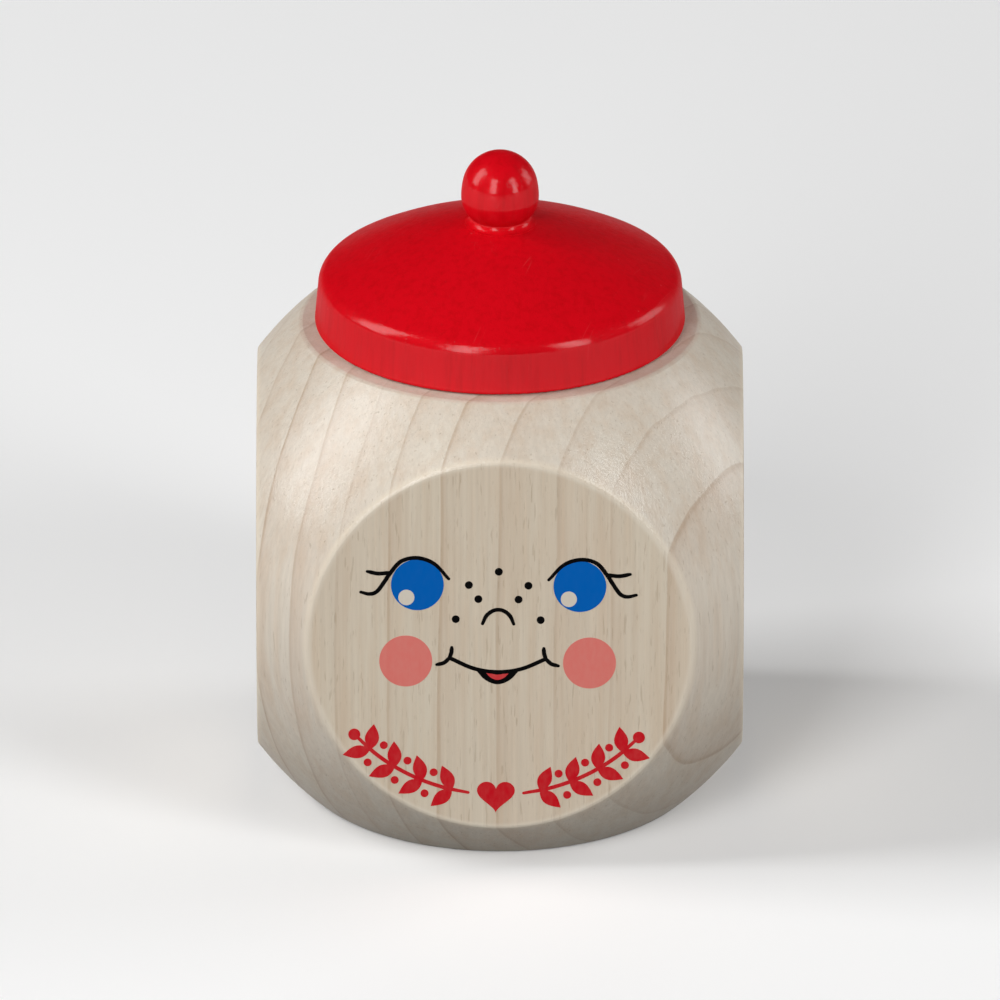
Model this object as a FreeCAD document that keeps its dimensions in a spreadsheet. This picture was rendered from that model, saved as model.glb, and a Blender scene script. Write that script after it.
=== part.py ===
import FreeCAD, Part

import math
import os

import Sketcher
from FreeCAD import Vector

# A turned wooden keepsake box for milk teeth: a barrel with four milled flats,
# a screw lid with a threaded plug, and a round knob on a hidden dowel.
# The origin is at the centre of the base, +Z is up and the picture side faces -Y.

SIZES = (
    # The turned and milled body
    ("body_height", 45.6),
    ("across_flats", 45.0),
    ("belly_stand", 6.2),
    ("end_inset", 4.0),
    ("flat_edge_round", 0.5),
    ("end_edge_round", 0.6),
    ("mouth_wall", 4.5),
    ("bore_corner", 3.0),
    ("floor_thickness", 7.0),
    ("mouth_chamfer", 0.5),
    # The screw thread that closes the box
    ("thread_pitch", 3.0),
    ("thread_depth", 0.9),
    ("thread_crest", 0.9),
    ("thread_flank_angle", 30.0),
    ("thread_clearance", 0.25),
    ("thread_root", 0.4),
    ("groove_length", 9.0),
    ("ridge_turns", 1.5),
    # The lid
    ("seat_gap", 0.1),
    ("plug_clearance", 0.3),
    ("plug_length", 8.0),
    ("plug_chamfer", 0.6),
    ("seat_ring", 1.35),
    ("rim_inset", 0.4),
    ("rim_height", 4.6),
    ("rim_top_round", 1.5),
    ("rim_foot_round", 0.3),
    ("crown_rise", 5.25),
    ("crown_arc_radius", 45.0),
    # The knob and its dowel
    ("knob_radius", 3.6),
    ("knob_waist", 0.85),
    ("knob_tip_inset", 0.1),
    ("knob_stretch", 0.75),
    ("knob_cove_radius", 0.6),
    ("knob_foot_land", 0.1),
    ("knob_belly_height", 2.7),
    ("dowel_radius", 1.5),
    ("dowel_in_lid", 4.0),
    ("dowel_in_knob", 4.0),
    ("dowel_chamfer", 0.3),
    ("dowel_clearance", 0.1),
)

TOLERANCE = 1e-4

doc = FreeCAD.newDocument("tooth_box")
sheet = doc.addObject("Spreadsheet::Sheet", "Sizes")
for row, (alias, value) in enumerate(SIZES, start=1):
    sheet.set(f"A{row}", alias)
    sheet.set(f"B{row}", str(value))
    sheet.setAlias(f"B{row}", alias)
doc.recompute()


def size(alias):
    """The expression that reads one named size from the sheet."""
    return f"Sizes.{alias}"


def evaluate(expression):
    """The number that an expression gives with the sheet's present sizes."""
    result = sheet.evalExpression(str(expression))
    return float(getattr(result, "Value", result))


def arc_radius(chord_run, sagitta_run):
    """The radius of an arc that leaves its chord's end square to the sagitta."""
    return f"(({chord_run})^2 + ({sagitta_run})^2) / (2 * ({sagitta_run}))"


# Heights and radii that several pieces share
BODY_TOP = size("body_height")
FLAT_REACH = f"({size('across_flats')} / 2)"
BELLY_RADIUS = f"({FLAT_REACH} + {size('belly_stand')})"
END_RADIUS = f"({FLAT_REACH} - {size('end_inset')})"
BORE_RADIUS = f"({END_RADIUS} - {size('mouth_wall')})"
LID_RADIUS = f"({END_RADIUS} - {size('seat_ring')})"
LID_SEAT = f"({BODY_TOP} + {size('seat_gap')})"
GROOVE_START = f"({BODY_TOP} - {size('groove_length')})"
RIDGE_START = f"({GROOVE_START} + {size('seat_gap')} + {size('thread_pitch')})"
PLUG_RADIUS = f"({BORE_RADIUS} - {size('plug_clearance')})"
PLUG_FOOT = f"({LID_SEAT} - {size('plug_length')})"
RIM_TOP = f"({LID_SEAT} + {size('rim_height')})"
RIM_TOP_RADIUS = f"({LID_RADIUS} - {size('rim_inset')})"
CROWN = f"({RIM_TOP} + {size('crown_rise')})"
KNOB_NECK_RADIUS = f"({size('knob_radius')} - {size('knob_waist')})"
KNOB_FOOT_RADIUS = f"({KNOB_NECK_RADIUS} + {size('knob_cove_radius')})"
KNOB_NECK = f"({CROWN} + {size('knob_foot_land')} + {size('knob_cove_radius')})"
KNOB_BELLY = f"({CROWN} + {size('knob_belly_height')})"
SOCKET_RADIUS = f"({size('dowel_radius')} + {size('dowel_clearance')})"
SOCKET_FLOOR = f"({CROWN} - {size('dowel_in_lid')} - {size('dowel_clearance')})"
SOCKET_ROOF = f"({CROWN} + {size('dowel_in_knob')} + {size('dowel_clearance')})"


def new_body(label):
    """An empty body under the piece's name."""
    body = doc.addObject("PartDesign::Body", label)
    body.Label = label
    return body


def origin_feature(body, role):
    """One of the planes or axes that a body starts with."""
    for feature in body.Origin.OriginFeatures:
        if feature.Role == role:
            return feature
    raise RuntimeError(f"{body.Label} has no origin feature {role}")


def arc_between(start, end, radius):
    """A shallow arc from start to end. A positive radius bulges to the right of its way."""
    chord = end.sub(start)
    half = chord.Length / 2
    reach = max(radius * radius - half * half, 0.0)
    sagitta = abs(radius) - math.sqrt(reach)
    right = Vector(chord.y, -chord.x, 0)
    right.normalize()
    side = 1 if radius > 0 else -1
    middle = start.add(end).multiply(0.5).add(right.multiply(side * sagitta))
    return Part.Arc(start, middle, end)


def outline(body, name, plane, points):
    """A closed sketch. Each point is (x, y) or (x, y, radius of the arc to the next point)."""
    sketch = body.newObject("Sketcher::SketchObject", name)
    sketch.AttachmentSupport = [(origin_feature(body, plane), "")]
    sketch.MapMode = "FlatFace"
    places = []
    for point in points:
        places.append(Vector(evaluate(point[0]), evaluate(point[1]), 0))
    for number, point in enumerate(points):
        start = places[number]
        end = places[(number + 1) % len(places)]
        is_flipped = False
        if len(point) == 3:
            arc = arc_between(start, end, evaluate(point[2]))
            edge = sketch.addGeometry(arc, False)
            near_first = sketch.getPoint(edge, 1).sub(start).Length
            near_second = sketch.getPoint(edge, 2).sub(start).Length
            is_flipped = near_first > near_second
            bend = sketch.addConstraint(Sketcher.Constraint("Radius", edge, sketch.Geometry[edge].Radius))
            sketch.setExpression(f"Constraints[{bend}]", f"abs({point[2]})")
        else:
            edge = sketch.addGeometry(Part.LineSegment(start, end), False)
        first_end = 2 if is_flipped else 1
        for kind, expression in (("DistanceX", point[0]), ("DistanceY", point[1])):
            held = Sketcher.Constraint(kind, -1, 1, edge, first_end, evaluate(expression))
            place = sketch.addConstraint(held)
            sketch.setExpression(f"Constraints[{place}]", str(expression))
        if number:
            sketch.addConstraint(Sketcher.Constraint("Coincident", last[0], last[1], edge, first_end))
        else:
            opening = (edge, first_end)
        last = (edge, 1 if is_flipped else 2)
    sketch.addConstraint(Sketcher.Constraint("Coincident", last[0], last[1], opening[0], opening[1]))
    doc.recompute()
    return sketch


def revolve(body, name, kind, points):
    """Turn an outline about the body's upright axis, as a solid or as a cut."""
    sketch = outline(body, f"{name}_outline", "XZ_Plane", points)
    feature = body.newObject(kind, name)
    feature.Profile = sketch
    feature.ReferenceAxis = (sketch, ["V_Axis"])
    feature.Angle = 360
    doc.recompute()
    return feature


def thread(body, name, kind, points, height):
    """Sweep a thread's section about the body's upright axis, right-handed."""
    sketch = outline(body, f"{name}_section", "XZ_Plane", points)
    feature = body.newObject(kind, name)
    feature.Profile = sketch
    feature.ReferenceAxis = (sketch, ["V_Axis"])
    feature.Mode = 0
    feature.setExpression("Pitch", size("thread_pitch"))
    feature.setExpression("Height", height)
    feature.Angle = 0
    feature.LeftHanded = False
    doc.recompute()
    return feature


def soften(body, name, base, edge_numbers, radius):
    """Round some edges of the feature that the body ends with so far."""
    fillet = body.newObject("PartDesign::Fillet", name)
    fillet.Base = (base, [f"Edge{number}" for number in edge_numbers])
    fillet.setExpression("Radius", radius)
    doc.recompute()
    return fillet


def edges_on_planes(shape, is_wanted):
    """Numbers of the edges that bound the flat faces that are wanted."""
    found = []
    for face in shape.Faces:
        if isinstance(face.Surface, Part.Plane) and is_wanted(face):
            for border in face.OuterWire.Edges:
                for number, edge in enumerate(shape.Edges, start=1):
                    if edge.isSame(border) and number not in found:
                        found.append(number)
    return found


def circle_edges(shape, radius, height):
    """Numbers of the round edges of one radius at one height."""
    found = []
    for number, edge in enumerate(shape.Edges, start=1):
        if not isinstance(edge.Curve, Part.Circle):
            continue
        same_radius = abs(edge.Curve.Radius - radius) < TOLERANCE
        same_height = abs(edge.Curve.Center.z - height) < TOLERANCE
        if same_radius and same_height:
            found.append(number)
    return found


def demand_cut(feature, before):
    """Stop if a cut took no material away."""
    if not feature.Shape.Volume < before.Shape.Volume - TOLERANCE:
        raise RuntimeError(f"{feature.Label} cut nothing")


def make_body():
    """The barrel: turned, milled flat on four sides, bored and threaded."""
    body = new_body("body")
    rise = f"({BODY_TOP} / 2)"
    bulge = f"({BELLY_RADIUS} - {END_RADIUS})"
    turned = revolve(body, "turned_barrel", "PartDesign::Revolution", [
        ("0", "0"),
        (END_RADIUS, "0", arc_radius(rise, bulge)),
        (END_RADIUS, BODY_TOP),
        ("0", BODY_TOP),
    ])

    mill = body.newObject("PartDesign::Pocket", "milled_flats")
    mill.Profile = flats_outline(body)
    mill.Type = "ThroughAll"
    mill.Reversed = True
    doc.recompute()
    demand_cut(mill, turned)

    def is_end(face):
        return abs(face.normalAt(0, 0).z) > 0.5

    def is_side(face):
        return abs(face.normalAt(0, 0).z) < 0.5

    sides = edges_on_planes(mill.Shape, is_side)
    eased = soften(body, "eased_flats", mill, sides, size("flat_edge_round"))
    ends = edges_on_planes(eased.Shape, is_end)
    eased = soften(body, "eased_ends", eased, ends, size("end_edge_round"))

    floor = size("floor_thickness")
    corner = size("bore_corner")
    mouth = size("mouth_chamfer")
    bored = revolve(body, "bore", "PartDesign::Groove", [
        ("0", floor),
        (f"{BORE_RADIUS} - {corner}", floor, corner),
        (BORE_RADIUS, f"{floor} + {corner}"),
        (BORE_RADIUS, f"{BODY_TOP} - {mouth}"),
        (f"{BORE_RADIUS} + {mouth}", BODY_TOP),
        ("0", BODY_TOP),
    ])
    demand_cut(bored, eased)

    run = f"({size('groove_length')} + {size('thread_pitch')})"
    section = thread_section(BORE_RADIUS, GROOVE_START, "0")
    cut = thread(body, "thread_groove", "PartDesign::SubtractiveHelix", section, run)
    demand_cut(cut, bored)
    return body


def flats_outline(body):
    """A wide square frame whose inner square is the block that the flats leave."""
    sketch = body.newObject("Sketcher::SketchObject", "flats_outline")
    sketch.AttachmentSupport = [(origin_feature(body, "XY_Plane"), "")]
    sketch.MapMode = "FlatFace"
    for reach in (f"{FLAT_REACH} + {BELLY_RADIUS}", FLAT_REACH):
        draw_square(sketch, reach)
    doc.recompute()
    return sketch


def draw_square(sketch, reach):
    """Four lines about the sketch's origin, each at the same reach from it."""
    half = evaluate(reach)
    corners = [(-1, -1), (1, -1), (1, 1), (-1, 1)]
    edges = []
    for number, (x, y) in enumerate(corners):
        next_x, next_y = corners[(number + 1) % len(corners)]
        start = Vector(x * half, y * half, 0)
        end = Vector(next_x * half, next_y * half, 0)
        edges.append(sketch.addGeometry(Part.LineSegment(start, end), False))
    for number, (x, y) in enumerate(corners):
        following = edges[(number + 1) % len(edges)]
        sketch.addConstraint(Sketcher.Constraint("Coincident", edges[number], 2, following, 1))
        for kind, side in (("DistanceX", x), ("DistanceY", y)):
            held = Sketcher.Constraint(kind, -1, 1, edges[number], 1, side * half)
            place = sketch.addConstraint(held)
            sketch.setExpression(f"Constraints[{place}]", f"{side} * ({reach})")


def thread_section(wall, middle, clearance):
    """A trapezoid across the bore's wall, eased all round by a clearance."""
    tip = f"({BORE_RADIUS} + {size('thread_depth')})"
    slope = f"tan({size('thread_flank_angle')} * 1deg)"
    ease = f"({clearance}) / cos({size('thread_flank_angle')} * 1deg)"
    inner = f"({wall} - {size('thread_root')})"
    outer = f"({tip} - {clearance})"

    def half_width(radius):
        return f"({size('thread_crest')} / 2 + ({tip} - {radius}) * {slope} - {ease})"

    return [
        (inner, f"{middle} - {half_width(inner)}"),
        (outer, f"{middle} - {half_width(outer)}"),
        (outer, f"{middle} + {half_width(outer)}"),
        (inner, f"{middle} + {half_width(inner)}"),
    ]


def make_lid():
    """The cap: a threaded plug, a rim that sits on the barrel and a low crown."""
    body = new_body("lid")
    chamfer = size("plug_chamfer")
    turned = revolve(body, "turned_cap", "PartDesign::Revolution", [
        ("0", PLUG_FOOT),
        (f"{PLUG_RADIUS} - {chamfer}", PLUG_FOOT),
        (PLUG_RADIUS, f"{PLUG_FOOT} + {chamfer}"),
        (PLUG_RADIUS, LID_SEAT),
        (LID_RADIUS, LID_SEAT),
        (RIM_TOP_RADIUS, RIM_TOP, size("crown_arc_radius")),
        (KNOB_FOOT_RADIUS, CROWN),
        ("0", CROWN),
    ])
    upper = circle_edges(turned.Shape, evaluate(RIM_TOP_RADIUS), evaluate(RIM_TOP))
    eased = soften(body, "eased_rim_top", turned, upper, size("rim_top_round"))
    lower = circle_edges(eased.Shape, evaluate(LID_RADIUS), evaluate(LID_SEAT))
    eased = soften(body, "eased_rim_foot", eased, lower, size("rim_foot_round"))

    socket = revolve(body, "dowel_socket", "PartDesign::Groove", [
        ("0", SOCKET_FLOOR),
        (SOCKET_RADIUS, SOCKET_FLOOR),
        (SOCKET_RADIUS, CROWN),
        ("0", CROWN),
    ])
    demand_cut(socket, eased)

    height = f"{size('ridge_turns')} * {size('thread_pitch')}"
    section = thread_section(PLUG_RADIUS, RIDGE_START, size("thread_clearance"))
    thread(body, "thread_ridge", "PartDesign::AdditiveHelix", section, height)
    return body


def make_knob():
    """The round knob: a drawn-out ball on a small foot with a cove."""
    body = new_body("knob")
    belly = size("knob_radius")
    drop = f"({KNOB_BELLY} - {KNOB_NECK})"
    cove_start = f"{CROWN} + {size('knob_foot_land')}"
    # The side's arc and the tip's arc meet at the shoulder without a corner
    tip = f"({belly} - {size('knob_tip_inset')})"
    lift = f"({size('knob_stretch')} + {size('knob_tip_inset')})"
    side = f"(({belly}^2 + {lift}^2 - {tip}^2) / (2 * {size('knob_tip_inset')}))"
    shoulder = f"({side} - {belly}) * {tip} / ({side} - {tip})"
    shoulder_height = f"{KNOB_BELLY} + {lift} * {side} / ({side} - {tip})"
    turned = revolve(body, "turned_ball", "PartDesign::Revolution", [
        ("0", CROWN),
        (KNOB_FOOT_RADIUS, CROWN),
        (KNOB_FOOT_RADIUS, cove_start, f"-{size('knob_cove_radius')}"),
        (KNOB_NECK_RADIUS, KNOB_NECK, arc_radius(drop, size("knob_waist"))),
        (belly, KNOB_BELLY, side),
        (shoulder, shoulder_height, tip),
        ("0", f"{KNOB_BELLY} + {belly} + {size('knob_stretch')}"),
    ])
    socket = revolve(body, "dowel_socket", "PartDesign::Groove", [
        ("0", CROWN),
        (SOCKET_RADIUS, CROWN),
        (SOCKET_RADIUS, SOCKET_ROOF),
        ("0", SOCKET_ROOF),
    ])
    demand_cut(socket, turned)
    return body


def make_dowel():
    """The short dowel, chamfered at both ends, that joins knob and lid."""
    body = new_body("knob_dowel")
    radius = size("dowel_radius")
    chamfer = size("dowel_chamfer")
    foot = f"({CROWN} - {size('dowel_in_lid')})"
    head = f"({CROWN} + {size('dowel_in_knob')})"
    revolve(body, "turned_dowel", "PartDesign::Revolution", [
        ("0", foot),
        (f"{radius} - {chamfer}", foot),
        (radius, f"{foot} + {chamfer}"),
        (radius, f"{head} - {chamfer}"),
        (f"{radius} - {chamfer}", head),
        ("0", head),
    ])
    return body


def check_document():
    """Stop unless every object of the document computed."""
    doc.recompute()
    for item in doc.Objects:
        if "Invalid" in item.State or "Error" in item.State:
            raise RuntimeError(f"{item.Label} failed: {item.State}")


def check_pieces(pieces):
    """Stop unless every piece is one valid solid."""
    for piece in pieces:
        shape = piece.Shape
        if shape.isNull() or not shape.isValid() or len(shape.Solids) != 1:
            raise RuntimeError(f"{piece.Label} is not one valid solid")


pieces = [make_body(), make_lid(), make_knob(), make_dowel()]
check_document()
check_pieces(pieces)
os.makedirs("parts", exist_ok=True)
for piece in pieces:
    piece.Placement = FreeCAD.Placement()
    piece.Shape.exportStep(os.path.join("parts", f"{piece.Label}.step"))
    print(f"{piece.Label}: {piece.Shape.Volume:.1f} mm3")
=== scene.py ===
"""Finish of a turned milk tooth box: pale wood, red lacquer and a printed doll's face."""

import math

import bmesh
import bpy
from bpy.props import FloatProperty, FloatVectorProperty, PointerProperty
from mathutils import Matrix, Vector


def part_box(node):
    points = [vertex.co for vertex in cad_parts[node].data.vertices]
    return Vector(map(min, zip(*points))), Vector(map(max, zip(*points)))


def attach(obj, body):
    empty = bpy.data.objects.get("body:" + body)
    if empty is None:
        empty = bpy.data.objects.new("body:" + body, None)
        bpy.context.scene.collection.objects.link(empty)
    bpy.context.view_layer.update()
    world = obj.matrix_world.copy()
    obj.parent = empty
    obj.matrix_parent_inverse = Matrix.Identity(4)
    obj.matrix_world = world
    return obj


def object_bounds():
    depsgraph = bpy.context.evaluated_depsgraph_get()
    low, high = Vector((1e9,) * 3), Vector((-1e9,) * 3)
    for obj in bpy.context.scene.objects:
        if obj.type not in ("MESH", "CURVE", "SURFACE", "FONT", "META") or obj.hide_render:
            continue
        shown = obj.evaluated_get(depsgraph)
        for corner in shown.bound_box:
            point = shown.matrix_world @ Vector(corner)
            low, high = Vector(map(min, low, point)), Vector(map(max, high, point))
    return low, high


bl_info = {
    "name": "Tooth Box Finish",
    "version": (1, 0, 0),
    "blender": (4, 5, 0),
    "location": "View3D > Sidebar > Tooth Box",
    "description": "Wood, lacquer and printed face for a turned milk tooth box",
    "category": "Object",
}

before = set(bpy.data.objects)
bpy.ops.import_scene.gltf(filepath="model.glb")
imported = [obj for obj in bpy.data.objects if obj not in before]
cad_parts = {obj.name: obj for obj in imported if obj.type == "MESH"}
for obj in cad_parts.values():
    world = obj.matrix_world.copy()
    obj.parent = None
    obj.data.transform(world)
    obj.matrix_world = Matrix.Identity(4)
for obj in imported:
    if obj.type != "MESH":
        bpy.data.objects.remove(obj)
CAD_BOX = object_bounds()
MM = 0.001

# Places that the frame gives
BODY_LOW, BODY_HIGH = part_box("body")
FLAT_Y = BODY_LOW[1]
FLAT_MIDDLE = (BODY_LOW[2] + BODY_HIGH[2]) / 2
SEAT_HEIGHT = BODY_HIGH[2]

# The barrel's turned outline in millimetres, from which its edges with the flats follow
BELLY_STAND = 6.2
END_INSET = 4.0

# Depth in millimetres below the barrel and below a flat where the edge between them starts and is full
BARREL_EDGE = (0.4, 0.1)
FLAT_EDGE = (0.5, 0.05)
# Share of the pale edge colour, partly rubbed wear and partly a painted highlight along the flats' edges
EDGE_WEAR_AND_HIGHLIGHT = 0.35

# Relief of the finishes
GRAIN_DEPTH = 0.04 * MM
FILM_DEPTH = 0.09 * MM
LACQUER_DEPTH = 0.06 * MM

# Wander of the growth rings, and the lacquer's ragged end a little below the seat, in millimetres
RING_WANDER = 3.4
LACQUER_LAP = 0.35
LACQUER_RAGGED = 0.3

# Scratches and specks in the lacquer
SCRATCH_SLANT = math.radians(22.0)
SCRATCH_STRENGTH = 0.5
MARK_STRENGTH = 0.16

# Share of the wood that an ink covers, where it is thin and where it is thick
SOLID_INK = (0.995, 1.0)
RED_INK = (0.96, 1.0)
ROSE_INK = (0.9, 0.96)
BARE_SPOT = (0.6, 0.85)

# Points of the drawn face in millimetres, sideways and up. Lashes, freckles and mouth ticks are given
# for one side, away from the nose, and are mirrored. Lashes and glints start at the eye's centre, mouth
# ticks at the mouth's corner and the rest at the flat's middle.
LASH_LINE = ((-2.87, 0.64), (-1.51, 2.16), (0.05, 2.72), (1.52, 2.36), (2.53, 1.12),
             (3.0, 0.34), (3.72, -0.72), (4.4, -0.98), (5.2, -0.8))
LASH_FLICK = ((2.4, 1.22), (3.6, 1.1), (4.62, 1.3))
MOUTH_TICK_UP = ((0.0, 0.0), (-0.16, 0.52), (-0.2, 1.06))
MOUTH_TICK_OUT = ((0.0, 0.0), (0.5, -0.5), (1.16, -0.7))
FRECKLES = ((2.74, 6.17), (1.85, 4.76), (3.91, 2.7))
LONE_FRECKLE = (0.0, 7.55)
NOSE_LINE = ((-1.44, 2.26), (-1.1, 3.06), (-0.55, 3.56), (0.0, 3.7),
             (0.55, 3.56), (1.1, 3.06), (1.44, 2.26))
GLINT_OFFSET = (-1.0, -1.29)

# The smile in millimetres: its corners below the flat's middle, its sag, and the sag's share halfway
MOUTH_CORNER_DROP = 1.23
MOUTH_SAG = 1.38
HALFWAY_SAG = 0.75

# The lip and its black edge: half the width, then how far top and bottom lie below the smile's middle
LIP = (1.15, -0.03, 0.8)
LIP_EDGE = (2.1, -0.31, 1.25)
# The lip's upper line dips in the middle. Its lower line has shoulders at a share of the half width,
# which lie higher by a share of the lip's height.
LIP_DIP = 0.3
LIP_SHOULDER = 0.55
LIP_RISE = 0.29

# The ink lies on the flat as thin plates, and one that crosses another lies a step higher
INK_SINK = 0.05 * MM
INK_FILM = 0.015 * MM
INK_STEP = 0.008 * MM

# Round spots of the print are a little taller than wide
SPOT_TALLNESS = 1.06
# A leaf's half width as a share of its length, and how far its belly lies towards the stalk
LEAF_WIDTH = 0.25
LEAF_FULLNESS = 0.85
# A drawn line thins out over the first and the last sixth of its length
TAPER_PARTS = 6
# Steps of round outlines, of each span of a path and of a line's round ends
DISC_SIDES = 72
SPAN_STEPS = 10
CAP_STEPS = 7


def length(name, description, default):
    """A size in metres that a user can change."""
    return FloatProperty(name=name, description=description, default=default,
                         precision=5, subtype="DISTANCE", unit="LENGTH")


def angle(name, description, degrees):
    """An angle that a user can change."""
    return FloatProperty(name=name, description=description, default=math.radians(degrees),
                         subtype="ANGLE", unit="ROTATION")


def colour(name, description, default):
    """A colour that a user can change."""
    return FloatVectorProperty(name=name, description=description, default=default, size=4,
                               min=0.0, max=1.0, subtype="COLOR")


class ToothBoxWood(bpy.types.PropertyGroup):
    """The pale turned wood."""

    pale: colour("Pale wood", "Early wood between the ring lines", (0.645, 0.575, 0.492, 1.0))
    tan: colour("Tan wood", "Late wood beside a ring line", (0.54, 0.427, 0.338, 1.0))
    line: colour("Ring line", "The dark edge of a growth ring", (0.4, 0.29, 0.2, 1.0))
    pore: colour("Pores", "Short dark vessels in the wood", (0.34, 0.245, 0.165, 1.0))
    # Rubbed wear and a painted highlight along the flats' edges
    worn_and_highlit_edge: colour("Worn edge", "Rubbed edge of a flat", (0.78, 0.72, 0.62, 1.0))
    # Painted sheen: the barrel is tinted greyer than the warmer flats, standing in for the lamps'
    # reflection on it
    painted_sheen: colour("Polished sides", "Tint of the turned and polished sides", (0.98, 1.0, 1.0, 1.0))
    flats_without_sheen: colour("Milled flats", "Tint of the duller flats", (1.0, 0.985, 0.92, 1.0))
    ring_spacing: length("Ring spacing", "Mean width of a growth ring", 4.3 * MM)
    heart: FloatVectorProperty(name="Heart", description="Place of the tree's heart beside the block",
                               default=(0.198, -0.14, 0.0), subtype="XYZ", unit="LENGTH")


class ToothBoxLacquer(bpy.types.PropertyGroup):
    """The red lacquer of lid and knob."""

    red: colour("Red", "The lacquer's colour", (0.6, 0.0022, 0.008, 1.0))
    deep: colour("Deep red", "The lacquer over a grain line", (0.52, 0.002, 0.006, 1.0))
    scuffed: colour("Scuffed red", "Scratches and specks in the lacquer", (0.78, 0.2, 0.2, 1.0))


class ToothBoxPrint(bpy.types.PropertyGroup):
    """The printed face and the garland under it."""

    eye_blue: colour("Eye blue", "Ink of the eyes", (0.001, 0.112, 0.45, 1.0))
    black: colour("Black", "Ink of the lines", (0.0012, 0.0012, 0.0016, 1.0))
    cheek_red: colour("Cheek red", "Ink of the cheeks", (0.71, 0.17, 0.145, 1.0))
    lip_red: colour("Lip red", "Ink of the lip", (0.58, 0.04, 0.045, 1.0))
    glint: colour("Glint", "Bare spot in the eyes", (0.68, 0.63, 0.54, 1.0))
    garland_red: colour("Garland red", "Ink of the garland", (0.56, 0.008, 0.016, 1.0))
    shift: length("Shift", "How far the print lies beside the flat's middle", -0.2 * MM)
    tilt: angle("Tilt", "How far the print is turned on the flat", -0.7)
    line_width: length("Line width", "Width of the drawn lines", 0.39 * MM)
    eye_offset: length("Eye offset", "From the middle of the flat to an eye, sideways", 7.48 * MM)
    eye_rise: length("Eye rise", "From the middle of the flat up to the eyes", 6.14 * MM)
    eye_radius: length("Eye radius", "Half the width of an eye", 2.43 * MM)
    glint_radius: length("Glint radius", "Half the width of the bare spot", 0.74 * MM)
    cheek_offset: length("Cheek offset", "From the middle of the flat to a cheek", 8.47 * MM)
    cheek_drop: length("Cheek drop", "From the middle of the flat down to the cheeks", 1.6 * MM)
    cheek_radius: length("Cheek radius", "Half the width of a cheek", 2.44 * MM)
    freckle_radius: length("Freckle radius", "Half the width of a freckle", 0.365 * MM)
    mouth_half: length("Half mouth", "From the mouth's middle to its corner", 4.44 * MM)
    garland_radius: length("Garland radius", "Radius of the garland's stem", 17.4 * MM)
    garland_rise: length("Garland rise", "From the middle of the flat to the garland's centre", 2.3 * MM)
    leaf_size: length("Leaf size", "Length of a leaf", 2.6 * MM)
    berry_radius: length("Berry radius", "Half the width of a berry", 0.37 * MM)
    heart_size: length("Heart size", "Half the width of the little heart", 1.75 * MM)


class ToothBoxStage(bpy.types.PropertyGroup):
    """Floor, lamps and camera."""

    frame_width: length("Frame width", "Width of the picture at the box", 92.85 * MM)
    camera_distance: length("Camera distance", "From the camera to the box", 2.4)
    aim_height: length("Aim height", "Height that the camera aims at", 27.35 * MM)
    camera_elevation: angle("Camera elevation", "Above the horizon", 24.5)
    lamp_distance: length("Lamp distance", "From each lamp to the box", 1.0)
    lamp_power: FloatProperty(name="Lamp power", description="Power of the left front lamp in watts",
                              default=6.65, min=0.0)
    floor_tone: colour("Floor", "Colour of the floor", (0.95, 0.95, 0.95, 1.0))
    floor_bounce: colour("Floor bounce", "Colour of the light that the floor sends back",
                         (0.01, 0.01, 0.01, 1.0))


class NodeSheet:
    """A material's nodes, with short ways to add and join them."""

    def __init__(self, name):
        self.material = bpy.data.materials.new(name)
        self.material.use_nodes = True
        self.tree = self.material.node_tree
        self.tree.nodes.clear()

    def add(self, kind, inputs=None, **options):
        """A node with its options and with values or links on its inputs."""
        made = self.tree.nodes.new(kind)
        for key, value in options.items():
            setattr(made, key, value)
        for key, value in (inputs or {}).items():
            self.join(value, made.inputs[key])
        return made

    def join(self, value, socket):
        """Link an output to a socket, or set the socket's own value."""
        if isinstance(value, bpy.types.NodeSocket):
            self.tree.links.new(value, socket)
        else:
            socket.default_value = value

    def number(self, operation, *values):
        """The result of a sum on numbers."""
        return self.add("ShaderNodeMath", dict(enumerate(values)), operation=operation).outputs[0]

    def vector(self, operation, *values):
        """The result of a sum on vectors."""
        made = self.add("ShaderNodeVectorMath", dict(enumerate(values)), operation=operation)
        return made.outputs["Value" if operation == "DISTANCE" else "Vector"]

    def noise(self, place, stretch, detail=2.0, roughness=0.5):
        """Cloudy noise from 0 to 1, stretched by different counts to the millimetre."""
        spread = self.vector("MULTIPLY", place, stretch)
        inputs = {"Vector": spread, "Scale": 1.0, "Detail": detail, "Roughness": roughness}
        return self.add("ShaderNodeTexNoise", inputs).outputs["Fac"]

    def ramp(self, amount, stops):
        """A colour ramp from (place, colour) stops, or a grey one from (place, number) stops."""
        made = self.add("ShaderNodeValToRGB", {"Fac": amount})
        band = made.color_ramp.elements
        while len(band) < len(stops):
            band.new(0.5)
        for element, (place, tone) in zip(band, stops):
            element.position = place
            element.color = tone if hasattr(tone, "__len__") else (tone, tone, tone, 1.0)
        return made.outputs["Color"]

    def fade(self, amount, low, high):
        """A soft step from 0 at low to 1 at high."""
        inputs = {"Value": amount, "From Min": low, "From Max": high}
        made = self.add("ShaderNodeMapRange", inputs, interpolation_type="SMOOTHSTEP")
        return made.outputs["Result"]

    def blend(self, amount, first, second, kind="MIX"):
        """Two colours mixed by an amount from 0 to 1."""
        made = self.add("ShaderNodeMix", data_type="RGBA", blend_type=kind)
        for socket, value in zip((0, 6, 7), (amount, first, second)):
            self.join(value, made.inputs[socket])
        return made.outputs[2]

    def place(self):
        """The place on the piece in millimetres, in the box's own frame."""
        spot = self.add("ShaderNodeTexCoord").outputs["Object"]
        return self.vector("MULTIPLY", spot, (1 / MM, 1 / MM, 1 / MM))

    def finish(self, shader):
        """The material with its shader on the surface."""
        self.add("ShaderNodeOutputMaterial", {"Surface": shader.outputs[0]})
        return self.material


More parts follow.
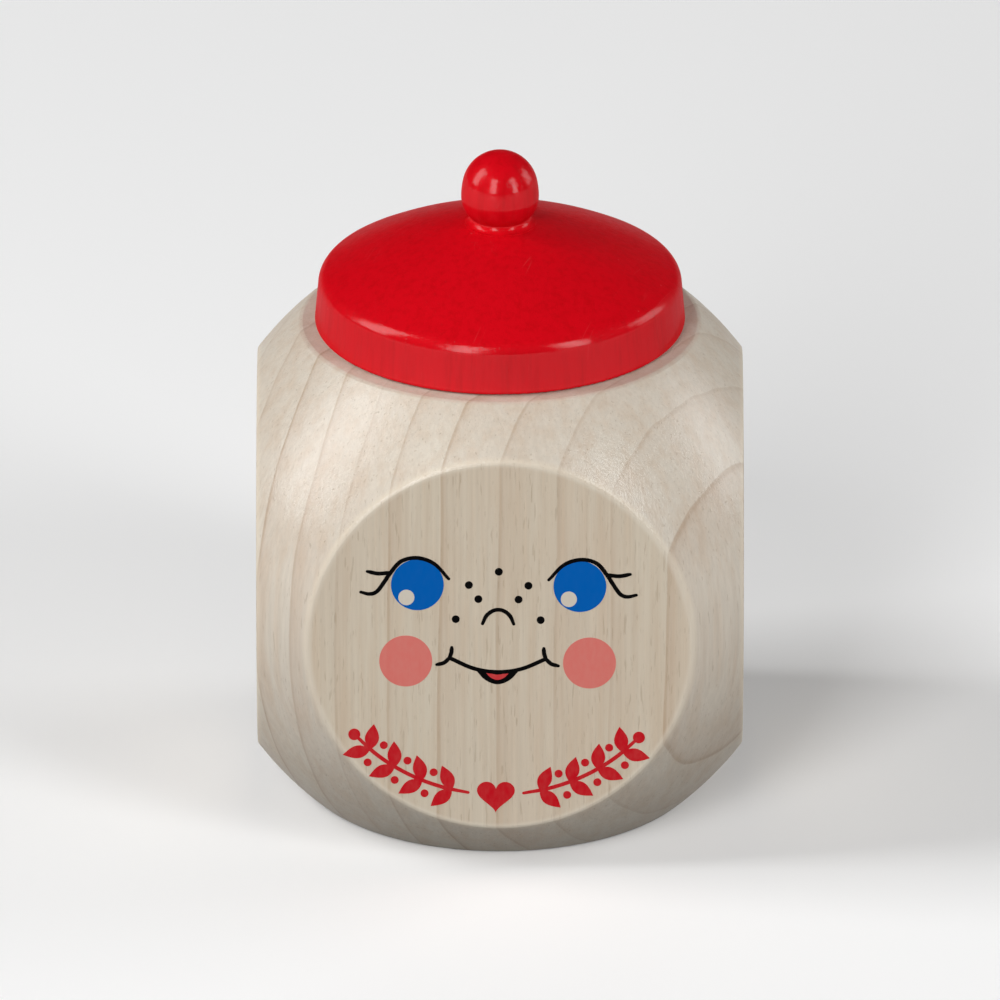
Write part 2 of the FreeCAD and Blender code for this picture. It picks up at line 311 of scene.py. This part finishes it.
def growth_rings(sheet, place, wood):
    """How far the late wood and the ring's dark line show at a place, from 0 to 1."""
    wander = sheet.noise(place, (0.05, 0.05, 0.014), detail=3.0)
    heart = [coordinate / MM for coordinate in wood.heart]
    plan = sheet.vector("MULTIPLY", place, (1.0, 1.0, 0.0))
    reach = sheet.vector("DISTANCE", plan, heart)
    reach = sheet.number("MULTIPLY_ADD", wander, RING_WANDER, reach)
    years = sheet.number("DIVIDE", reach, wood.ring_spacing / MM)
    growth = sheet.number("FRACT", years)
    year = sheet.number("FLOOR", years)
    luck = sheet.add("ShaderNodeTexWhiteNoise", {"W": year}, noise_dimensions="1D").outputs["Value"]
    late_stops = ((0.0, 0.0), (0.5, 0.1), (0.85, 0.45), (0.955, 0.85), (0.985, 0.75), (1.0, 0.0))
    late = sheet.ramp(growth, late_stops)
    late = sheet.number("MULTIPLY", late, sheet.number("MULTIPLY_ADD", luck, 0.5, 0.25))
    edge = sheet.ramp(growth, ((0.92, 0.0), (0.962, 1.0), (0.985, 0.9), (1.0, 0.0)))
    patch = sheet.noise(place, (0.5, 0.5, 0.08), detail=3.0)
    strength = sheet.number("MULTIPLY", patch, sheet.number("MULTIPLY_ADD", luck, 0.6, 0.25))
    return late, sheet.number("MULTIPLY", edge, strength)


def flats_and_edges(sheet, place):
    """How far a place lies on a flat, and how near to a flat's edge with the barrel, from 0 to 1."""
    half_height = FLAT_MIDDLE / MM
    flat_reach = -FLAT_Y / MM
    bulge = BELLY_STAND + END_INSET
    bow = (half_height ** 2 + bulge ** 2) / (2 * bulge)
    parts = sheet.add("ShaderNodeSeparateXYZ", {"Vector": place}).outputs
    plan = sheet.vector("MULTIPLY", place, (1.0, 1.0, 0.0))
    radius = sheet.vector("DISTANCE", plan, (0.0, 0.0, 0.0))
    height = sheet.number("SUBTRACT", parts["Z"], half_height)
    drop = sheet.number("SUBTRACT", bow ** 2, sheet.number("MULTIPLY", height, height))
    barrel = sheet.number("ADD", sheet.number("SQRT", drop), flat_reach + BELLY_STAND - bow)
    sideways = sheet.number("ABSOLUTE", parts["X"])
    forwards = sheet.number("ABSOLUTE", parts["Y"])
    flat = sheet.number("MAXIMUM", sideways, forwards)
    on_barrel = sheet.fade(sheet.number("SUBTRACT", barrel, radius), *BARREL_EDGE)
    on_flat = sheet.fade(sheet.number("SUBTRACT", flat_reach, flat), *FLAT_EDGE)
    return on_flat, sheet.number("MULTIPLY", on_barrel, on_flat)


def wood_figure(sheet, wood):
    """Rings about the tree's heart, fibres and pores: the wood's colour and its relief."""
    place = sheet.place()
    late, edge = growth_rings(sheet, place, wood)
    ground = sheet.blend(late, tuple(wood.pale), tuple(wood.tan))
    ground = sheet.blend(edge, ground, tuple(wood.line))

    fibre = sheet.noise(place, (3.2, 3.2, 0.06), detail=4.0, roughness=0.6)
    light = sheet.ramp(fibre, ((0.3, 0.935), (0.7, 1.04)))
    ground = sheet.blend(1.0, ground, light, "MULTIPLY")
    cloud = sheet.noise(place, (0.09, 0.09, 0.03), detail=2.0)
    warm = sheet.ramp(cloud, ((0.35, (1.0, 1.0, 0.99, 1.0)), (0.65, (0.98, 0.95, 0.93, 1.0))))
    ground = sheet.blend(1.0, ground, warm, "MULTIPLY")
    blush = sheet.noise(place, (0.8, 0.8, 0.05), detail=3.0, roughness=0.6)
    rosy = sheet.ramp(blush, ((0.42, (1.0, 1.0, 1.0, 1.0)), (0.68, (0.95, 0.9, 0.86, 1.0))))
    ground = sheet.blend(1.0, ground, rosy, "MULTIPLY")

    vessels = sheet.noise(place, (4.6, 4.6, 0.42), detail=1.0, roughness=0.4)
    pores = sheet.fade(vessels, 0.68, 0.75)
    ground = sheet.blend(sheet.number("MULTIPLY", pores, 0.3), ground, tuple(wood.pore))
    flecks = sheet.fade(sheet.noise(place, (7.5, 7.5, 0.8), detail=1.0), 0.66, 0.74)
    ground = sheet.blend(sheet.number("MULTIPLY", flecks, 0.17), ground, tuple(wood.pore))
    hairs = sheet.noise(place, (8.0, 8.0, 0.4), detail=2.0)
    relief = sheet.number("MULTIPLY_ADD", pores, -1.0, hairs)
    relief = sheet.number("MULTIPLY_ADD", flecks, -0.7, relief)
    return place, ground, relief


def make_wood(name, wood):
    """Sanded wood under a thin clear satin lacquer."""
    sheet = NodeSheet(name)
    place, ground, relief = wood_figure(sheet, wood)
    on_flat, edge = flats_and_edges(sheet, place)
    # Painted sheen: the barrel takes a greyer tint than the flats, standing in for the lamps' reflection
    tint = sheet.blend(on_flat, tuple(wood.painted_sheen), tuple(wood.flats_without_sheen))
    skin = sheet.blend(1.0, ground, tint, "MULTIPLY")
    # Rubbed wear and painted highlight: the flats' edges are lightened all round
    skin = sheet.blend(sheet.number("MULTIPLY", edge, EDGE_WEAR_AND_HIGHLIGHT), skin, tuple(wood.worn_and_highlit_edge))
    bump = sheet.add("ShaderNodeBump", {"Height": relief, "Strength": 0.45, "Distance": GRAIN_DEPTH})
    film = sheet.noise(place, (4.5, 4.5, 1.1), detail=2.0, roughness=0.6)
    sparkle = sheet.add("ShaderNodeBump", {"Height": film, "Strength": 0.5, "Distance": FILM_DEPTH})
    facing = sheet.add("ShaderNodeLayerWeight", {"Blend": 0.5}).outputs["Facing"]
    satin = sheet.ramp(facing, ((0.35, 0.7), (0.6, 0.05)))
    return sheet.finish(sheet.add("ShaderNodeBsdfPrincipled", {
        "Base Color": skin,
        "Roughness": sheet.ramp(relief, ((0.2, 0.52), (0.8, 0.4))),
        "Normal": bump.outputs["Normal"],
        "Specular IOR Level": 0.12,
        "Coat Weight": satin,
        "Coat Roughness": 0.22,
        "Coat Normal": sparkle.outputs["Normal"],
    }))


def lacquer_marks(sheet, place):
    """How far fine scratches and specks show in the lacquer, from 0 to 1."""
    aslant = sheet.add("ShaderNodeVectorRotate", {"Vector": place, "Angle": SCRATCH_SLANT}).outputs[0]
    drift = sheet.noise(aslant, (0.8, 0.02, 0.02), detail=0.0)
    from_line = sheet.number("ABSOLUTE", sheet.number("SUBTRACT", drift, 0.5))
    handled = sheet.fade(sheet.noise(place, (0.3, 0.12, 0.3)), 0.6, 0.7)
    scratch = sheet.number("MULTIPLY", sheet.fade(from_line, 0.012, 0.002), handled)
    scratch = sheet.number("MULTIPLY", scratch, SCRATCH_STRENGTH)
    cells = sheet.add("ShaderNodeTexVoronoi", {"Vector": place, "Scale": 0.45}).outputs
    lot = sheet.add("ShaderNodeSeparateColor", {"Color": cells["Color"]}).outputs["Red"]
    speck = sheet.fade(cells["Distance"], 0.06, 0.03)
    speck = sheet.number("MULTIPLY", speck, sheet.number("GREATER_THAN", lot, 0.65))
    return sheet.number("MAXIMUM", scratch, speck)


def make_lacquer(name, lacquer, wood):
    """Red lacquer on the outside of the lid, with bare wood below the seat."""
    sheet = NodeSheet(name)
    place, ground, relief = wood_figure(sheet, wood)
    streaks = sheet.noise(place, (1.5, 1.5, 0.07), detail=4.0, roughness=0.65)
    red = sheet.blend(sheet.fade(streaks, 0.4, 0.75), tuple(lacquer.red), tuple(lacquer.deep))
    marks = sheet.number("MULTIPLY", lacquer_marks(sheet, place), MARK_STRENGTH)
    red = sheet.blend(marks, red, tuple(lacquer.scuffed))
    height = sheet.add("ShaderNodeSeparateXYZ", {"Vector": place}).outputs["Z"]
    ragged = sheet.noise(place, (1.1, 1.1, 1.1))
    level = sheet.number("MULTIPLY_ADD", ragged, -LACQUER_RAGGED, height)
    painted = sheet.number("GREATER_THAN", level, SEAT_HEIGHT / MM - LACQUER_LAP)
    ripple = sheet.noise(place, (1.6, 1.6, 0.2), detail=3.0, roughness=0.55)
    waves = sheet.number("MULTIPLY_ADD", relief, 0.5, ripple)
    bump = sheet.add("ShaderNodeBump", {"Height": waves, "Strength": 0.35, "Distance": LACQUER_DEPTH})
    facing = sheet.add("ShaderNodeLayerWeight", {"Blend": 0.5}).outputs["Facing"]
    gloss = sheet.ramp(facing, ((0.2, 0.42), (0.6, 0.12), (0.9, 0.02)))
    return sheet.finish(sheet.add("ShaderNodeBsdfPrincipled", {
        "Base Color": sheet.blend(painted, ground, red),
        "Roughness": sheet.ramp(ripple, ((0.3, 0.5), (0.7, 0.42))),
        "Normal": bump.outputs["Normal"],
        "Specular IOR Level": 0.02,
        "Coat Weight": sheet.number("MULTIPLY", painted, gloss),
        "Coat Roughness": 0.1,
        "Coat Normal": bump.outputs["Normal"],
    }))


def make_ink(name, tint, wood, coverage):
    """Printed ink that covers the wood by a share that runs from thin to thick."""
    sheet = NodeSheet(name)
    place, ground, relief = wood_figure(sheet, wood)
    mottle = sheet.noise(place, (2.5, 2.5, 1.2), detail=3.0)
    thin, thick = coverage
    laid = sheet.ramp(mottle, ((0.3, thin), (0.7, thick)))
    return sheet.finish(sheet.add("ShaderNodeBsdfPrincipled", {
        "Base Color": sheet.blend(laid, ground, tuple(tint)),
        "Roughness": sheet.ramp(relief, ((0.2, 0.55), (0.8, 0.45))),
        "Specular IOR Level": 0.015,
    }))


def dress(node_name, material):
    """Give a node of the frame its finish."""
    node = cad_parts[node_name]
    node.data.materials.clear()
    node.data.materials.append(material)


def disc(x, z, radius):
    """The outline of a round spot."""
    points = []
    for side in range(DISC_SIDES):
        turn = 2 * math.pi * side / DISC_SIDES
        points.append((x + radius * math.cos(turn), z + SPOT_TALLNESS * radius * math.sin(turn)))
    return points


def smooth_path(points):
    """A smooth line through chosen points, as even steps between them."""
    spots = [Vector(point) for point in points]
    spots.insert(0, 2 * spots[0] - spots[1])
    spots.append(2 * spots[-1] - spots[-2])
    path = []
    for before, start, end, after in zip(spots, spots[1:], spots[2:], spots[3:]):
        for step in range(SPAN_STEPS):
            part = step / SPAN_STEPS
            bend = 2 * before - 5 * start + 4 * end - after
            twist = 3 * start - before - 3 * end + after
            path.append(start + 0.5 * part * (end - before + part * (bend + part * twist)))
    path.append(spots[-2])
    return path


def round_end(start, end):
    """Points of a half circle that runs clockwise from start to end."""
    middle = (start + end) / 2
    arm = start - middle
    points = []
    for step in range(1, CAP_STEPS):
        turn = Matrix.Rotation(-math.pi * step / CAP_STEPS, 2)
        points.append(middle + turn @ arm)
    return points


def stroke(points, width, fade=0.75):
    """The outline of a drawn line with round ends that thin out a little."""
    path = smooth_path(points)
    last = len(path) - 1
    left, right = [], []
    for number, spot in enumerate(path):
        along = path[min(number + 1, last)] - path[max(number - 1, 0)]
        across = Vector((-along.y, along.x)).normalized()
        from_end = min(number, last - number) / last
        half = width / 2 * min(1.0, fade + (1.0 - fade) * from_end * TAPER_PARTS)
        left.append(spot + half * across)
        right.append(spot - half * across)
    right.reverse()
    tail = round_end(left[-1], right[0])
    head = round_end(right[-1], left[0])
    return [tuple(spot) for spot in left + tail + right + head]


def both_sides(outline):
    """An outline and its mirror image on the other side of the nose."""
    return [outline, [(-x, z) for x, z in reversed(outline)]]


def offset_path(points, x=0.0, z=0.0):
    """Path points given in millimetres, moved to a place on the flat."""
    return [(x + MM * along, z + MM * up) for along, up in points]


def print_plates(name, outlines, material, ink, layer=0):
    """Thin closed plates of ink on the front flat, from outlines in metres about its middle."""
    turn = Matrix.Rotation(ink.tilt, 2)
    lift = INK_FILM + INK_STEP * layer
    work = bmesh.new()
    for outline in outlines:
        front, back = [], []
        for point in outline:
            x, z = turn @ Vector(point)
            front.append(work.verts.new((x + ink.shift, FLAT_Y - lift, FLAT_MIDDLE + z)))
            back.append(work.verts.new((x + ink.shift, FLAT_Y + INK_SINK, FLAT_MIDDLE + z)))
        work.faces.new(front)
        work.faces.new(list(reversed(back)))
        for index in range(len(outline)):
            work.faces.new((front[index - 1], back[index - 1], back[index], front[index]))
    bmesh.ops.recalc_face_normals(work, faces=work.faces)
    bmesh.ops.triangulate(work, faces=[face for face in work.faces if len(face.verts) > 4])
    mesh = bpy.data.meshes.new(name)
    work.to_mesh(mesh)
    work.free()
    mesh.materials.append(material)
    piece = bpy.data.objects.new(name, mesh)
    bpy.context.scene.collection.objects.link(piece)
    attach(piece, "box")


def lip_outline(half, top, bottom):
    """A half moon below the smile, from millimetres below the flat's middle."""
    upper = smooth_path([(half, -top), (0.0, -top - LIP_DIP), (-half, -top)])
    rise = LIP_RISE * (bottom - top)
    shoulder = LIP_SHOULDER * half
    lower = smooth_path([(-half, -top), (-shoulder, rise - bottom), (0.0, -bottom),
                         (shoulder, rise - bottom), (half, -top)])
    return [(MM * x, MM * z) for x, z in upper[:-1] + lower[:-1]]


def leaf_outline(x, z, heading, size):
    """A pointed leaf from its stalk at (x, z)."""
    points = []
    for side in (1, -1):
        for step in range(SPAN_STEPS):
            part = step / SPAN_STEPS if side > 0 else 1.0 - step / SPAN_STEPS
            along = size * part
            across = size * side * LEAF_WIDTH * math.sin(math.pi * part ** LEAF_FULLNESS)
            points.append((x + along * math.cos(heading) - across * math.sin(heading),
                           z + along * math.sin(heading) + across * math.cos(heading)))
    return points


def heart_outline(x, z, size):
    """A plain heart about (x, z), by the usual curve that is 16 units wide to each side."""
    points = []
    for side in range(DISC_SIDES):
        turn = 2 * math.pi * side / DISC_SIDES
        up = 13 * math.cos(turn) - 5 * math.cos(2 * turn) - 2 * math.cos(3 * turn) - math.cos(4 * turn)
        points.append((x + size * math.sin(turn) ** 3, z + size * up / 16))
    return points


class TOOTHBOX_OT_finish_body(bpy.types.Operator):
    """Give the turned body its pale wood"""

    bl_idname = "toothbox.finish_body"
    bl_label = "Finish Body"

    def execute(self, context):
        dress("body", make_wood("pale_turned_wood", context.scene.toothbox_wood))
        return {"FINISHED"}


class TOOTHBOX_OT_finish_lid(bpy.types.Operator):
    """Give lid and knob their red lacquer"""

    bl_idname = "toothbox.finish_lid"
    bl_label = "Finish Lid and Knob"

    def execute(self, context):
        scene = context.scene
        lacquer = make_lacquer("red_lacquer", scene.toothbox_lacquer, scene.toothbox_wood)
        for node_name in ("lid", "knob"):
            dress(node_name, lacquer)
        return {"FINISHED"}


class TOOTHBOX_OT_finish_dowel(bpy.types.Operator):
    """Give the hidden dowel its pale wood"""

    bl_idname = "toothbox.finish_dowel"
    bl_label = "Finish Dowel"

    def execute(self, context):
        dress("knob_dowel", make_wood("bare_dowel_wood", context.scene.toothbox_wood))
        return {"FINISHED"}


class TOOTHBOX_OT_print_eyes(bpy.types.Operator):
    """Print the eyes, their glints and their lashes"""

    bl_idname = "toothbox.print_eyes"
    bl_label = "Print Eyes"

    def execute(self, context):
        ink = context.scene.toothbox_print
        wood = context.scene.toothbox_wood
        blue = make_ink("blue_ink", ink.eye_blue, wood, SOLID_INK)
        bare = make_ink("glint_ink", ink.glint, wood, BARE_SPOT)
        black = make_ink("lash_ink", ink.black, wood, SOLID_INK)
        eyes = both_sides(disc(ink.eye_offset, ink.eye_rise, ink.eye_radius))
        print_plates("eyes", eyes, blue, ink)
        glints = []
        for side in (-1, 1):
            x = side * ink.eye_offset + GLINT_OFFSET[0] * MM
            z = ink.eye_rise + GLINT_OFFSET[1] * MM
            glints.append(disc(x, z, ink.glint_radius))
        print_plates("eye_glints", glints, bare, ink, layer=1)
        line = offset_path(LASH_LINE, ink.eye_offset, ink.eye_rise)
        print_plates("lash_lines", both_sides(stroke(line, ink.line_width)), black, ink, layer=1)
        flick = offset_path(LASH_FLICK, ink.eye_offset, ink.eye_rise)
        print_plates("lash_flicks", both_sides(stroke(flick, ink.line_width)), black, ink, layer=2)
        return {"FINISHED"}


class TOOTHBOX_OT_print_nose(bpy.types.Operator):
    """Print the nose and the freckles"""

    bl_idname = "toothbox.print_nose"
    bl_label = "Print Nose and Freckles"

    def execute(self, context):
        ink = context.scene.toothbox_print
        black = make_ink("nose_ink", ink.black, context.scene.toothbox_wood, SOLID_INK)
        print_plates("nose", [stroke(offset_path(NOSE_LINE), ink.line_width)], black, ink)
        spots = [disc(LONE_FRECKLE[0] * MM, LONE_FRECKLE[1] * MM, ink.freckle_radius)]
        for x, z in FRECKLES:
            spots += both_sides(disc(x * MM, z * MM, ink.freckle_radius))
        print_plates("freckles", spots, black, ink)
        return {"FINISHED"}


class TOOTHBOX_OT_print_mouth(bpy.types.Operator):
    """Print the smile, the lip and the cheeks"""

    bl_idname = "toothbox.print_mouth"
    bl_label = "Print Mouth and Cheeks"

    def execute(self, context):
        ink = context.scene.toothbox_print
        wood = context.scene.toothbox_wood
        black = make_ink("mouth_ink", ink.black, wood, SOLID_INK)
        red = make_ink("lip_ink", ink.lip_red, wood, RED_INK)
        rose = make_ink("cheek_ink", ink.cheek_red, wood, ROSE_INK)
        half = ink.mouth_half / MM
        corner = -MOUTH_CORNER_DROP
        middle = corner - MOUTH_SAG
        bow = corner - HALFWAY_SAG * MOUTH_SAG
        smile = ((-half, corner), (-half / 2, bow), (0.0, middle), (half / 2, bow), (half, corner))
        line = stroke(offset_path(smile), ink.line_width, fade=1.0)
        print_plates("smile", [line], black, ink, layer=2)
        ticks = (("mouth_ticks_up", MOUTH_TICK_UP), ("mouth_ticks_out", MOUTH_TICK_OUT))
        for layer, (name, tick) in enumerate(ticks):
            path = offset_path(tick, ink.mouth_half, corner * MM)
            print_plates(name, both_sides(stroke(path, ink.line_width)), black, ink, layer)
        lips = (("lip_edge", LIP_EDGE, black), ("lip", LIP, red))
        for layer, (name, (lip_half, top, bottom), material) in enumerate(lips):
            outline = lip_outline(lip_half, top - middle, bottom - middle)
            print_plates(name, [outline], material, ink, layer)
        cheeks = both_sides(disc(ink.cheek_offset, -ink.cheek_drop, ink.cheek_radius))
        print_plates("cheeks", cheeks, rose, ink)
        return {"FINISHED"}


class TOOTHBOX_OT_print_garland(bpy.types.Operator):
    """Print the red garland under the face"""

    bl_idname = "toothbox.print_garland"
    bl_label = "Print Garland"

    # Degrees along the garland from the little heart in its middle
    stem_turns = (8.5, 16.0, 24.0, 32.0, 40.0, 49.0)
    leaf_turns = (13.5, 23.0, 32.5, 42.0)
    berry_turns = (20.8, 30.3, 39.8)
    leaf_lean = 55.0
    # How far a berry stands beside the stem, and the share by which the stem's last berry is larger
    berry_reach = 1.15 * MM
    end_berry_share = 1.5

    def execute(self, context):
        ink = context.scene.toothbox_print
        red = make_ink("garland_ink", ink.garland_red, context.scene.toothbox_wood, RED_INK)

        def spot(degrees, away=0.0):
            turn = math.radians(degrees)
            reach = ink.garland_radius + away
            return reach * math.sin(turn), ink.garland_rise - reach * math.cos(turn)

        stem = stroke([spot(degrees) for degrees in self.stem_turns], ink.line_width)
        print_plates("garland_stems", both_sides(stem), red, ink)
        leaves, berries = [], []
        for degrees in self.leaf_turns:
            for lean in (self.leaf_lean, -self.leaf_lean):
                heading = math.radians(degrees + lean)
                leaves.append(leaf_outline(*spot(degrees), heading, ink.leaf_size))
        for degrees in self.berry_turns:
            for away in (self.berry_reach, -self.berry_reach):
                berries.append(disc(*spot(degrees, away), ink.berry_radius))
        berries.append(disc(*spot(self.stem_turns[-1]), ink.berry_radius * self.end_berry_share))
        growths = (("garland_leaves", leaves), ("garland_berries", berries))
        for layer, (name, outlines) in enumerate(growths, start=1):
            pairs = [side for outline in outlines for side in both_sides(outline)]
            print_plates(name, pairs, red, ink, layer)
        print_plates("garland_heart", [heart_outline(*spot(0.0), ink.heart_size)], red, ink)
        return {"FINISHED"}


class TOOTHBOX_OT_set_stage(bpy.types.Operator):
    """Set the floor, the five soft lamps and the camera"""

    bl_idname = "toothbox.set_stage"
    bl_label = "Set Stage"

    # Half the floor's width and its gap below the box
    floor_half = 8.0
    floor_gap = 0.02 * MM
    # Strength of the light from all around, and the camera's sensor in millimetres
    air_strength = 0.015
    sensor_width = 36.0
    # Degrees around from the front and up, width and height in metres, then the share of the power
    lamps = {
        "left_side_lamp": (-88.0, 31.0, 0.42, 0.8, 1.1),
        "left_front_lamp": (-22.0, 24.0, 0.33, 0.8, 1.0),
        "right_front_lamp": (48.0, 24.0, 0.25, 0.7, 0.68),
        "right_side_lamp": (109.0, 17.0, 0.45, 0.5, 0.52),
        "back_lamp": (180.0, 15.0, 0.8, 0.4, 0.3),
    }
    # This lamp only fills the shade behind the box and isn't mirrored in the lacquer
    fill_lamp = "back_lamp"

    def execute(self, context):
        stage = context.scene.toothbox_stage
        self.lay_floor(context.scene, stage)
        self.hang_lamps(context.scene, stage)
        self.dim_world(context.scene)
        self.place_camera(context.scene, stage)
        context.scene.view_settings.view_transform = "Standard"
        return {"FINISHED"}

    def lay_floor(self, scene, stage):
        """A wide pale floor that keeps the box's shadow and sends hardly any light back."""
        half = self.floor_half
        drop = CAD_BOX[0][2] - self.floor_gap
        corners = [(-half, -half, drop), (half, -half, drop), (half, half, drop), (-half, half, drop)]
        mesh = bpy.data.meshes.new("floor")
        mesh.from_pydata(corners, [], [(0, 1, 2, 3)])
        floor = bpy.data.objects.new("floor", mesh)
        scene.collection.objects.link(floor)
        sheet = NodeSheet("pale_floor")
        rays = sheet.add("ShaderNodeLightPath").outputs
        seen = sheet.number("MAXIMUM", rays["Is Camera Ray"], rays["Is Glossy Ray"])
        seen = sheet.number("MAXIMUM", seen, rays["Is Transmission Ray"])
        tone = sheet.blend(seen, tuple(stage.floor_bounce), tuple(stage.floor_tone))
        mesh.materials.append(sheet.finish(sheet.add("ShaderNodeBsdfDiffuse", {"Color": tone})))

    def hang_lamps(self, scene, stage):
        """Soft lamps that look at the middle of the body."""
        for name, (around, up, width, height, share) in self.lamps.items():
            lamp = bpy.data.lights.new(name, "AREA")
            lamp.shape = "RECTANGLE"
            lamp.size = width
            lamp.size_y = height
            lamp.energy = stage.lamp_power * share
            post = bpy.data.objects.new(name, lamp)
            scene.collection.objects.link(post)
            away = self.towards(math.radians(around), math.radians(up))
            post.location = Vector((0.0, 0.0, FLAT_MIDDLE)) + stage.lamp_distance * away
            post.rotation_euler = away.to_track_quat("Z", "Y").to_euler()
            post.visible_camera = False
            post.visible_glossy = name != self.fill_lamp

    def dim_world(self, scene):
        """A faint even light from all around."""
        scene.world = bpy.data.worlds.new("studio_air")
        scene.world.use_nodes = True
        air = scene.world.node_tree.nodes["Background"]
        air.inputs["Color"].default_value = (1.0, 1.0, 1.0, 1.0)
        air.inputs["Strength"].default_value = self.air_strength

    def place_camera(self, scene, stage):
        """A far camera with a long lens in front of the face."""
        lens = bpy.data.cameras.new("camera")
        lens.sensor_width = self.sensor_width
        lens.lens = lens.sensor_width * stage.camera_distance / stage.frame_width
        camera = bpy.data.objects.new("camera", lens)
        scene.collection.objects.link(camera)
        away = self.towards(0.0, stage.camera_elevation)
        camera.location = Vector((0.0, 0.0, stage.aim_height)) + stage.camera_distance * away
        camera.rotation_euler = away.to_track_quat("Z", "Y").to_euler()
        scene.camera = camera

    def towards(self, around, up):
        """The direction from the box to a place around it and up, with the front at 0."""
        return Vector((math.sin(around) * math.cos(up), -math.cos(around) * math.cos(up), math.sin(up)))


OPERATORS = (
    TOOTHBOX_OT_finish_body,
    TOOTHBOX_OT_finish_lid,
    TOOTHBOX_OT_finish_dowel,
    TOOTHBOX_OT_print_eyes,
    TOOTHBOX_OT_print_nose,
    TOOTHBOX_OT_print_mouth,
    TOOTHBOX_OT_print_garland,
    TOOTHBOX_OT_set_stage,
)

SETTINGS = {
    "toothbox_wood": ToothBoxWood,
    "toothbox_lacquer": ToothBoxLacquer,
    "toothbox_print": ToothBoxPrint,
    "toothbox_stage": ToothBoxStage,
}


class TOOTHBOX_PT_sidebar(bpy.types.Panel):
    """The tooth box's pieces, each made by a button, and their sizes and colours"""

    bl_idname = "TOOTHBOX_PT_sidebar"
    bl_label = "Tooth Box"
    bl_space_type = "VIEW_3D"
    bl_region_type = "UI"
    bl_category = "Tooth Box"

    def draw(self, context):
        for operator in OPERATORS:
            self.layout.operator(operator.bl_idname)
        for name, group in SETTINGS.items():
            column = self.layout.box().column()
            for setting in group.__annotations__:
                column.prop(getattr(context.scene, name), setting)


def register():
    for name, group in SETTINGS.items():
        bpy.utils.register_class(group)
        setattr(bpy.types.Scene, name, PointerProperty(type=group))
    for operator in OPERATORS:
        bpy.utils.register_class(operator)
    bpy.utils.register_class(TOOTHBOX_PT_sidebar)


def unregister():
    bpy.utils.unregister_class(TOOTHBOX_PT_sidebar)
    for operator in reversed(OPERATORS):
        bpy.utils.unregister_class(operator)
    for name, group in reversed(SETTINGS.items()):
        delattr(bpy.types.Scene, name)
        bpy.utils.unregister_class(group)


def main():
    register()
    bpy.ops.toothbox.finish_body()
    bpy.ops.toothbox.finish_lid()
    bpy.ops.toothbox.finish_dowel()
    bpy.ops.toothbox.print_eyes()
    bpy.ops.toothbox.print_nose()
    bpy.ops.toothbox.print_mouth()
    bpy.ops.toothbox.print_garland()
    bpy.ops.toothbox.set_stage()


if __name__ == "__main__":
    main()
